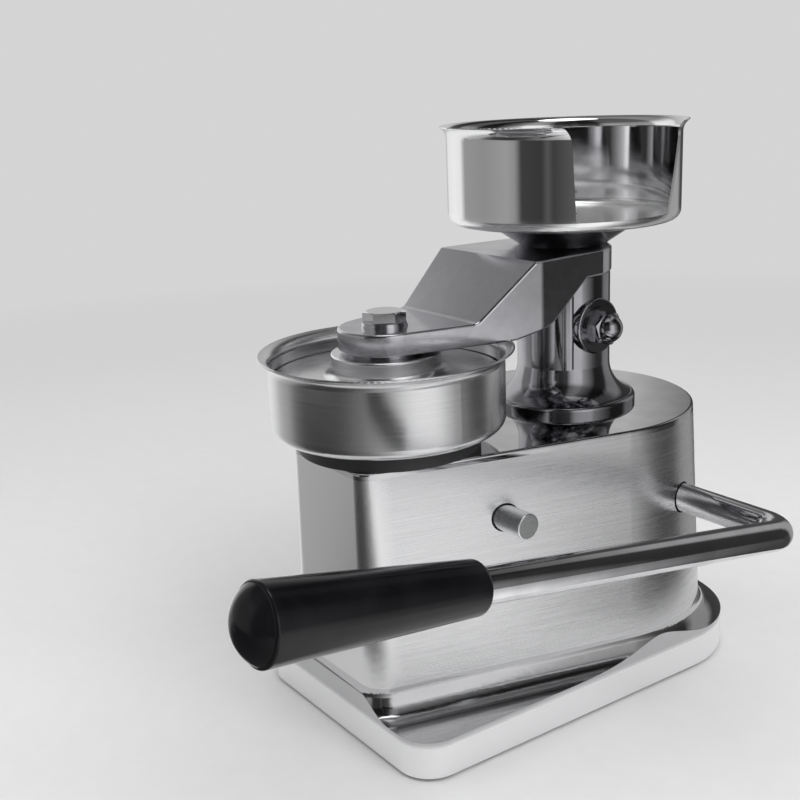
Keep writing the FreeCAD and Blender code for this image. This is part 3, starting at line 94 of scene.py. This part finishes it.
# ---- shader helpers -----------------------------------------------------------------------------
class Shader:
    """Builds one node material around a Principled shader."""

    SOCKETS = {"colour": "Base Color", "metallic": "Metallic", "roughness": "Roughness",
               "anisotropic": "Anisotropic", "specular": "Specular IOR Level", "tangent": "Tangent"}

    def __init__(self, name):
        self.material = bpy.data.materials.new(name)
        self.material.use_nodes = True
        self.tree = self.material.node_tree
        self.bsdf = self.tree.nodes["Principled BSDF"]
        coords = self.tree.nodes.new("ShaderNodeTexCoord")
        self.place = coords.outputs["Object"]

    def node(self, kind, **settings):
        made = self.tree.nodes.new(kind)
        for key, value in settings.items():
            setattr(made, key, value)
        return made

    def link(self, source, target):
        self.tree.links.new(source, target)

    def feed(self, socket, value):
        """Gives a socket a link, a colour or a number."""
        if isinstance(value, bpy.types.NodeSocket):
            self.link(value, socket)
        elif isinstance(value, tuple):
            socket.default_value = (*value, 1.0)
        else:
            socket.default_value = value

    def set(self, **values):
        for key, value in values.items():
            self.feed(self.bsdf.inputs[self.SOCKETS[key]], value)

    def surface(self, shader):
        """Makes this shader, not the Principled one, the surface."""
        self.link(shader, self.tree.nodes["Material Output"].inputs["Surface"])

    def split(self, vector=None):
        """The three coordinates of a vector, of the place on the object if none is given."""
        made = self.node("ShaderNodeSeparateXYZ")
        self.link(vector or self.place, made.inputs[0])
        return made.outputs

    def stretched(self, scale):
        """Coordinates scaled by a different amount along each axis."""
        mapping = self.node("ShaderNodeMapping")
        mapping.inputs["Scale"].default_value = scale
        self.link(self.place, mapping.inputs["Vector"])
        return mapping.outputs["Vector"]

    def round_about(self, centre, around, along, outward):
        """Coordinates that run round a vertical axis: angle, height and radius, each scaled."""
        shift = self.node("ShaderNodeVectorMath", operation="SUBTRACT")
        self.link(self.place, shift.inputs[0])
        shift.inputs[1].default_value = centre
        x, y, z = self.split(shift.outputs[0])
        flat = self.node("ShaderNodeCombineXYZ")
        self.link(x, flat.inputs["X"])
        self.link(y, flat.inputs["Y"])
        length = self.node("ShaderNodeVectorMath", operation="LENGTH")
        self.link(flat.outputs[0], length.inputs[0])
        unit = self.node("ShaderNodeVectorMath", operation="NORMALIZE")
        self.link(flat.outputs[0], unit.inputs[0])
        scaled = self.node("ShaderNodeVectorMath", operation="SCALE")
        self.link(unit.outputs[0], scaled.inputs[0])
        scaled.inputs["Scale"].default_value = around
        radial = self.multiply(length.outputs["Value"], outward)
        rise = self.node("ShaderNodeMath", operation="MULTIPLY_ADD")
        self.link(z, rise.inputs[0])
        rise.inputs[1].default_value = along
        self.link(radial, rise.inputs[2])
        lift = self.node("ShaderNodeCombineXYZ")
        self.link(rise.outputs[0], lift.inputs["Z"])
        total = self.node("ShaderNodeVectorMath", operation="ADD")
        self.link(scaled.outputs[0], total.inputs[0])
        self.link(lift.outputs[0], total.inputs[1])
        return total.outputs[0]

    def noise(self, vector, detail=3.0, rough=0.5):
        made = self.node("ShaderNodeTexNoise")
        made.inputs["Scale"].default_value = 1.0
        made.inputs["Detail"].default_value = detail
        made.inputs["Roughness"].default_value = rough
        self.link(vector, made.inputs["Vector"])
        return made.outputs["Fac"]

    def speckle(self, scale, detail=3.0, rough=0.5):
        """Even noise, with this many grains per metre."""
        return self.noise(self.stretched((scale, scale, scale)), detail, rough)

    def ramp(self, value, stops):
        made = self.node("ShaderNodeValToRGB")
        element = made.color_ramp.elements
        while len(element) < len(stops):
            element.new(0.5)
        for slot, (position, grey) in zip(element, stops):
            slot.position = position
            colour = grey if isinstance(grey, tuple) else (grey, grey, grey)
            slot.color = (*colour, 1.0)
        self.link(value, made.inputs["Fac"])
        return made.outputs["Color"]

    def span(self, value, low, high, from_low=0.0, from_high=1.0, easing="LINEAR"):
        """Carries a number from one range to another, held at the ends."""
        made = self.node("ShaderNodeMapRange", interpolation_type=easing)
        made.inputs["From Min"].default_value = from_low
        made.inputs["From Max"].default_value = from_high
        made.inputs["To Min"].default_value = low
        made.inputs["To Max"].default_value = high
        self.link(value, made.inputs["Value"])
        return made.outputs["Result"]

    def mix(self, factor, first, second):
        """A colour between two others."""
        made = self.node("ShaderNodeMix", data_type="RGBA")
        for socket, value in zip(made.inputs[0:1] + made.inputs[6:8], (factor, first, second)):
            self.feed(socket, value)
        return made.outputs[2]

    def blend(self, factor, first, second):
        """A number between two others."""
        made = self.node("ShaderNodeMix", data_type="FLOAT")
        for socket, value in zip(made.inputs[0:1] + made.inputs[2:4], (factor, first, second)):
            self.feed(socket, value)
        return made.outputs[0]

    def multiply(self, first, second):
        made = self.node("ShaderNodeMath", operation="MULTIPLY")
        for socket, value in zip(made.inputs, (first, second)):
            self.feed(socket, value)
        return made.outputs[0]

    def bump(self, height, strength, distance):
        made = self.node("ShaderNodeBump")
        made.inputs["Strength"].default_value = strength
        made.inputs["Distance"].default_value = distance
        self.link(height, made.inputs["Height"])
        self.link(made.outputs[0], self.bsdf.inputs["Normal"])


# ---- finishes: noise scales are grains per metre ---------------------------------------------------
SATIN_LIGHT = (0.77, 0.77, 0.78)
SATIN_DARK = (0.74, 0.74, 0.75)
FRONT_SATIN_DEPTH = 0.012      # how far back from the body's front its face stays satin
SKIRT_PAINTED_LIGHT_SATIN_TO = 0.0195        # the base's upright skirt is satin below, polished above; the satin part is coloured near white, painted light
SKIRT_POLISH_FROM = 0.0225
TRAY_SATIN_TO = 0.003          # the tray's floor is satin below, mirror-bright above
TRAY_POLISH_FROM = 0.009
HAIR_SCALE = (900.0, 160.0, 240.0)


def brushed_sheet(name, light, dark, rough_low, rough_high, smooth_to_y=None):
    """Steel sheet brushed along the horizontal; the face in front of smooth_to_y stays plain satin."""
    s = Shader(name)
    long_grain = s.noise(s.stretched((9.0, 9.0, 1500.0)), 3.0, 0.6)
    fine_grain = s.noise(s.stretched((55.0, 55.0, 5200.0)), 2.0, 0.6)
    cloud = s.noise(s.stretched((9.0, 9.0, 22.0)), 2.0)
    streak = s.mix(0.45, long_grain, fine_grain)
    middle = tuple((a + b) / 2 for a, b in zip(light, dark))
    colour = s.ramp(streak, [(0.30, dark), (0.52, middle), (0.72, light)])
    rough = s.span(s.mix(0.35, streak, cloud), rough_low, rough_high, 0.3, 0.7)
    relief = streak
    if smooth_to_y is not None:
        brushed = s.span(s.split()["Y"], 0.0, 1.0, smooth_to_y - 0.002, smooth_to_y + 0.006)
        satin = s.speckle(900.0, 2.0)
        colour = s.mix(brushed, s.mix(satin, SATIN_DARK, SATIN_LIGHT), colour)
        rough = s.blend(brushed, s.span(satin, 0.24, 0.27, 0.35, 0.7), rough)
        relief = s.multiply(streak, brushed)
    s.set(colour=colour, metallic=1.0, roughness=rough)
    s.bump(relief, 0.08, 0.0002)
    return s.material


def turned_metal(name, centre, light, dark, rough_low, rough_high, along, outward, strength=0.06,
                 anisotropic=0.0):
    """Metal turned or brushed round a vertical axis."""
    s = Shader(name)
    ring = s.noise(s.round_about(centre, 1.2, along, outward), 3.0, 0.6)
    cloud = s.speckle(30.0, 2.0)
    s.set(colour=s.ramp(ring, [(0.3, dark), (0.7, light)]), metallic=1.0)
    s.set(roughness=s.span(s.mix(0.4, ring, cloud), rough_low, rough_high, 0.3, 0.7))
    if anisotropic:
        tangent = s.node("ShaderNodeTangent", direction_type="RADIAL", axis="Z")
        s.set(anisotropic=anisotropic, tangent=tangent.outputs[0])
    s.bump(ring, strength, 0.0001)
    return s.material


def polished_metal(name, colour, rough_low, rough_high, wave=0.0, wave_scale=25.0):
    """Buffed metal: faint haze, hairline marks, and a slight waviness on castings."""
    s = Shader(name)
    cloud = s.speckle(60.0, 3.0, 0.55)
    hair = s.noise(s.stretched(HAIR_SCALE), 2.0, 0.7)
    darker = tuple(c * 0.86 for c in colour)
    s.set(colour=s.mix(s.span(cloud, 0.0, 1.0, 0.35, 0.7), colour, darker), metallic=1.0)
    s.set(roughness=s.span(s.mix(0.5, cloud, hair), rough_low, rough_high, 0.35, 0.68))
    if wave:
        s.bump(s.speckle(wave_scale, 2.0, 0.45), wave, 0.002)
    else:
        s.bump(hair, 0.03, 0.0001)
    return s.material


def base_steel(name):
    """Polished stamping whose upright skirt keeps a satin finish, coloured near white as painted
    light.
    """
    s = Shader(name)
    satin = s.span(s.split()["Z"], 1.0, 0.0, WORKTOP_Z + SKIRT_PAINTED_LIGHT_SATIN_TO, WORKTOP_Z + SKIRT_POLISH_FROM)
    cloud = s.speckle(40.0)
    grain = s.noise(s.stretched((25.0, 25.0, 2600.0)), 2.0)
    mirror_rough = s.span(cloud, 0.07, 0.12, 0.35, 0.7)
    satin_rough = s.span(grain, 0.30, 0.36, 0.35, 0.7)
    s.set(roughness=s.blend(satin, mirror_rough, satin_rough), metallic=1.0)
    # painted light: the skirt's near-white colour stands for light falling on it; its satin roughness
    # is the real finish
    s.set(colour=s.mix(satin, s.mix(cloud, (0.58, 0.58, 0.59), (0.52, 0.52, 0.53)),
                       s.mix(grain, (0.96, 0.96, 0.97), (0.94, 0.94, 0.95))))
    s.bump(s.multiply(grain, satin), 0.01, 0.0001)
    return s.material


def tray_steel(name):
    """Mirror-bright stamping whose floor keeps a satin finish."""
    s = Shader(name)
    satin = s.span(s.split()["Z"], 1.0, 0.0, tray_low.z + TRAY_SATIN_TO, tray_low.z + TRAY_POLISH_FROM)
    cloud = s.speckle(40.0)
    mirror_rough = s.span(cloud, 0.05, 0.08, 0.35, 0.7)
    satin_rough = s.span(cloud, 0.28, 0.36, 0.35, 0.7)
    s.set(roughness=s.blend(satin, mirror_rough, satin_rough), metallic=1.0)
    s.set(colour=s.mix(satin, s.mix(cloud, (0.86, 0.86, 0.87), (0.82, 0.82, 0.83)),
                       s.mix(cloud, (0.96, 0.96, 0.96), (0.92, 0.92, 0.93))))
    s.bump(cloud, 0.02, 0.0001)
    return s.material


def gloss_plastic(name, colour, rough_low, rough_high):
    """Moulded plastic with a faint orange peel."""
    s = Shader(name)
    cloud = s.speckle(35.0)
    peel = s.speckle(420.0, 2.0)
    lighter = tuple(min(1.0, c * 1.7 + 0.002) for c in colour)
    s.set(colour=s.mix(s.span(cloud, 0.0, 1.0, 0.4, 0.7), colour, lighter))
    s.set(roughness=s.span(cloud, rough_low, rough_high, 0.35, 0.7), specular=0.32)
    s.bump(peel, 0.05, 0.0002)
    return s.material


def rubber(name):
    """Dull black rubber with fine specks."""
    s = Shader(name)
    speck = s.speckle(900.0, 3.0, 0.6)
    s.set(colour=s.ramp(speck, [(0.3, 0.018), (0.7, 0.04)]))
    s.set(roughness=s.span(speck, 0.7, 0.9))
    s.bump(speck, 0.2, 0.0003)
    return s.material


def painted(name, colour):
    """Paint with a fine grain."""
    s = Shader(name)
    grain = s.speckle(500.0, 3.0, 0.6)
    lighter = tuple(min(1.0, c * 1.3) for c in colour)
    s.set(colour=s.mix(grain, colour, lighter), roughness=s.span(grain, 0.4, 0.6))
    s.bump(grain, 0.15, 0.0003)
    return s.material


SLOTS = {
    "base_polished": base_steel("base_polished"),
    "body_brushed": brushed_sheet("body_brushed", (0.80, 0.80, 0.81), (0.58, 0.58, 0.59), 0.22, 0.34,
                                  body_low.y + FRONT_SATIN_DEPTH),
    "deck_mirror": polished_metal("deck_mirror", (0.62, 0.62, 0.63), 0.03, 0.08),
    "cover_steel": brushed_sheet("cover_steel", (0.6, 0.6, 0.6), (0.42, 0.42, 0.43), 0.35, 0.5),
    "rubber_black": rubber("rubber_black"),
    "screw_steel": polished_metal("screw_steel", (0.62, 0.62, 0.60), 0.22, 0.36),
    "cast_dark": polished_metal("cast_dark", (0.38, 0.38, 0.40), 0.06, 0.12, 0.04, 20.0),
    "cast_arm": polished_metal("cast_arm", (0.60, 0.59, 0.62), 0.12, 0.22, 0.06, 30.0),
    "plated": polished_metal("plated", (0.80, 0.80, 0.82), 0.02, 0.07),
    "bronze": turned_metal("bronze", COLUMN_AXIS, (0.66, 0.46, 0.20), (0.50, 0.34, 0.14),
                           0.25, 0.4, 900.0, 900.0),
    "frame_steel": painted("frame_steel", (0.16, 0.17, 0.18)),
    "bowl_satin": turned_metal("bowl_satin", BOWL_AXIS, (0.74, 0.74, 0.75), (0.68, 0.68, 0.69),
                               0.19, 0.25, 1500.0, 1500.0, 0.015, 0.3),
    "plate_polished": turned_metal("plate_polished", BOWL_AXIS, (0.72, 0.72, 0.73), (0.66, 0.66, 0.67),
                                   0.05, 0.11, 1200.0, 1200.0, 0.01),
    "tray_mirror": tray_steel("tray_mirror"),
    "grip_black": gloss_plastic("grip_black", (0.004, 0.004, 0.005), 0.10, 0.18),
    "spindle_ground": turned_metal("spindle_ground", COLUMN_AXIS, (0.72, 0.72, 0.72),
                                   (0.58, 0.58, 0.58), 0.15, 0.28, 1500.0, 300.0),
}
# pieces whose finish differs from the rest of their slot, and the bowl neck, coloured near black as
# painted shade for the gap under the bowl
FINISH_AND_PAINTED_SHADE = {
    "dome_nut": polished_metal("nut_dark_chrome", (0.42, 0.42, 0.44), 0.03, 0.08),
    "dome_washer": polished_metal("washer_dark", (0.34, 0.34, 0.36), 0.10, 0.2),
    "press_head": turned_metal("head_satin", BOWL_AXIS, (0.90, 0.90, 0.91), (0.84, 0.84, 0.85),
                               0.16, 0.26, 1500.0, 1500.0, 0.02, 0.35),
    "side_pin": polished_metal("pin_zinc", (0.88, 0.89, 0.90), 0.20, 0.30),
    "tray_pedestal": polished_metal("pedestal_dark", (0.46, 0.46, 0.47), 0.10, 0.20),
    # painted shade: the neck is coloured near black to stand for the shadow in the gap between bowl
    # and deck
    "bowl_neck": painted("neck_painted_shade", (0.02, 0.02, 0.022)),
}
slot_of = {part["node"]: part["material_slot"] for part in frame["record"]["subparts"]}
for name, piece in NODE.items():
    piece.data.materials.clear()
    piece.data.materials.append(FINISH_AND_PAINTED_SHADE.get(name, SLOTS[slot_of[name]]))

# ---- studio -----------------------------------------------------------------------------------
BACKGROUND = (0.66, 0.66, 0.66)
FLOOR_R = 6.0
FADE_FROM = 0.45           # where the floor starts to fade into the background's colour
FADE_TO = 1.6
TENT_R = 0.95
TENT_CLEAR = 0.115         # bare floor left round the base
TENT_H = 1.05
TENT_TOP_R = 0.30
TENT_TOP_H = 1.35
GROUND_TO = 0.002          # heights between which the tent's ground panels give way to its wall's
WALL_FROM = 0.06
DIM_FROM = 0.62            # height from which the tent's wall gets dimmer
DIM_AT_TOP = 0.28
WORLD_GREY = (0.62, 0.62, 0.62)
WORLD_STRENGTH = 0.75
# name, place, point it faces, width, height, watts
LAMPS = [
    ("key", (1.3, 0.1, 1.5), (0, 0, 0.15), 1.2, 1.2, 22.0),
    ("fill", (-0.9, -1.2, 1.5), (0, 0, 0.15), 1.4, 1.0, 9.0),
    ("top", (0.0, 0.3, 2.0), (0, 0, 0.1), 1.6, 1.6, 14.0),
]
# soft boxes and dark gaps of the tent: (bearing in degrees from +X, brightness)
WALL_PANELS = [(-180, 0.95), (-166, 0.90), (-158, 0.34), (-128, 0.30), (-100, 0.36), (-91, 0.30),
               (-84, 0.05), (-62, 0.04), (-56, 0.10), (-50, 0.05), (-30, 0.10), (-20, 0.75),
               (-10, 1.00), (6, 1.00), (13, 0.55), (24, 0.32), (36, 0.14), (44, 0.03), (68, 0.04),
               (78, 0.36), (98, 0.36), (106, 0.06), (120, 0.08), (128, 0.60), (152, 0.50),
               (160, 0.85), (180, 0.95)]
GROUND_PANELS = [(-180, 0.95), (-166, 0.85), (-152, 0.48), (-141, 0.42), (-131, 0.14), (-120, 0.05),
                 (-98, 0.04), (-82, 0.07), (-62, 0.20), (-42, 0.46), (-24, 0.88), (-12, 1.00),
                 (8, 1.00), (20, 0.64), (32, 0.32), (42, 0.14), (52, 0.06), (68, 0.06), (78, 0.36),
                 (98, 0.36), (106, 0.06), (120, 0.08), (128, 0.60), (152, 0.50), (160, 0.85),
                 (180, 0.95)]


def rounds(name, rings, steps=96):
    """A sheet through level ovals, each given as (middle x, middle y, half x, half y, height)."""
    points = []
    faces = []
    for middle_x, middle_y, half_x, half_y, height in rings:
        for i in range(steps):
            angle = 2 * math.pi * i / steps
            points.append((middle_x + half_x * math.cos(angle), middle_y + half_y * math.sin(angle),
                           WORKTOP_Z + height))
    for k in range(len(rings) - 1):
        for i in range(steps):
            a = k * steps + i
            b = k * steps + (i + 1) % steps
            faces.append((a, b, b + steps, a + steps))
    mesh = bpy.data.meshes.new(name)
    mesh.from_pydata(points, [], faces)
    piece = bpy.data.objects.new(name, mesh)
    scene.collection.objects.link(piece)
    return piece


def floor():
    """Pale floor that fades into the background's own colour, so that no horizon shows."""
    piece = rounds("floor", [(0, 0, r, r, 0.0) for r in (0.001, 0.6, 2.0, FLOOR_R)])
    s = Shader("floor")
    grain = s.speckle(60.0, 3.0, 0.6)
    s.set(colour=s.mix(grain, (0.64, 0.64, 0.64), (0.68, 0.68, 0.68)), roughness=0.9, specular=0.05)
    away = s.node("ShaderNodeVectorMath", operation="LENGTH")
    s.link(s.place, away.inputs[0])
    glow = s.node("ShaderNodeEmission")
    s.feed(glow.inputs["Color"], BACKGROUND)
    both = s.node("ShaderNodeMixShader")
    s.link(s.span(away.outputs["Value"], 0.0, 1.0, FADE_FROM, FADE_TO), both.inputs[0])
    s.link(s.bsdf.outputs[0], both.inputs[1])
    s.link(glow.outputs[0], both.inputs[2])
    s.surface(both.outputs[0])
    piece.data.materials.append(s.material)


def tent():
    """Ring of soft boxes and dark gaps that only reflections see."""
    base_middle = (base_low + base_high) / 2
    base_half = (base_high - base_low) / 2
    piece = rounds("tent", [
        (base_middle.x, base_middle.y, base_half.x + TENT_CLEAR, base_half.y + TENT_CLEAR, 0.001),
        (0, 0, TENT_R, TENT_R, 0.002), (0, 0, TENT_R, TENT_R, TENT_H),
        (0, 0, TENT_TOP_R, TENT_TOP_R, TENT_TOP_H)])
    s = Shader("tent")
    x, y, z = s.split()
    bearing = s.node("ShaderNodeMath", operation="ARCTAN2")
    s.link(y, bearing.inputs[0])
    s.link(x, bearing.inputs[1])
    turn = s.span(bearing.outputs[0], 0.0, 1.0, -math.pi, math.pi)
    ground, wall = [s.ramp(turn, [((angle + 180.0) / 360.0, grey) for angle, grey in panels])
                    for panels in (GROUND_PANELS, WALL_PANELS)]
    upright = s.span(z, 0.0, 1.0, WORKTOP_Z + GROUND_TO, WORKTOP_Z + WALL_FROM)
    dim = s.span(z, 1.0, DIM_AT_TOP, WORKTOP_Z + DIM_FROM, WORKTOP_Z + TENT_H, "SMOOTHSTEP")
    glow = s.node("ShaderNodeEmission")
    s.link(s.mix(upright, ground, wall), glow.inputs["Color"])
    s.link(dim, glow.inputs["Strength"])
    s.surface(glow.outputs[0])
    piece.data.materials.append(s.material)
    piece.visible_camera = False
    piece.visible_diffuse = False
    piece.visible_shadow = False
    piece.visible_transmission = False


def world():
    """Plain grey light all round; the camera sees the background's colour."""
    made = bpy.data.worlds.new("studio")
    scene.world = made
    made.use_nodes = True
    tree = made.node_tree
    light = tree.nodes["Background"]
    light.inputs["Color"].default_value = (*WORLD_GREY, 1.0)
    light.inputs["Strength"].default_value = WORLD_STRENGTH
    seen = tree.nodes.new("ShaderNodeBackground")
    seen.inputs["Color"].default_value = (*BACKGROUND, 1.0)
    path = tree.nodes.new("ShaderNodeLightPath")
    both = tree.nodes.new("ShaderNodeMixShader")
    tree.links.new(path.outputs["Is Camera Ray"], both.inputs[0])
    tree.links.new(light.outputs[0], both.inputs[1])
    tree.links.new(seen.outputs[0], both.inputs[2])
    tree.links.new(both.outputs[0], tree.nodes["World Output"].inputs["Surface"])


def area_light(name, at, target, width, height, power):
    data = bpy.data.lights.new(name, "AREA")
    data.shape = "RECTANGLE"
    data.size = width
    data.size_y = height
    data.energy = power
    light = bpy.data.objects.new(name, data)
    scene.collection.objects.link(light)
    light.location = at
    away = Vector(at) - Vector(target)
    light.rotation_euler = away.to_track_quat("Z", "Y").to_euler()


floor()
tent()
world()
for lamp in LAMPS:
    area_light(*lamp)
add_camera()

scene.view_settings.view_transform = "Standard"
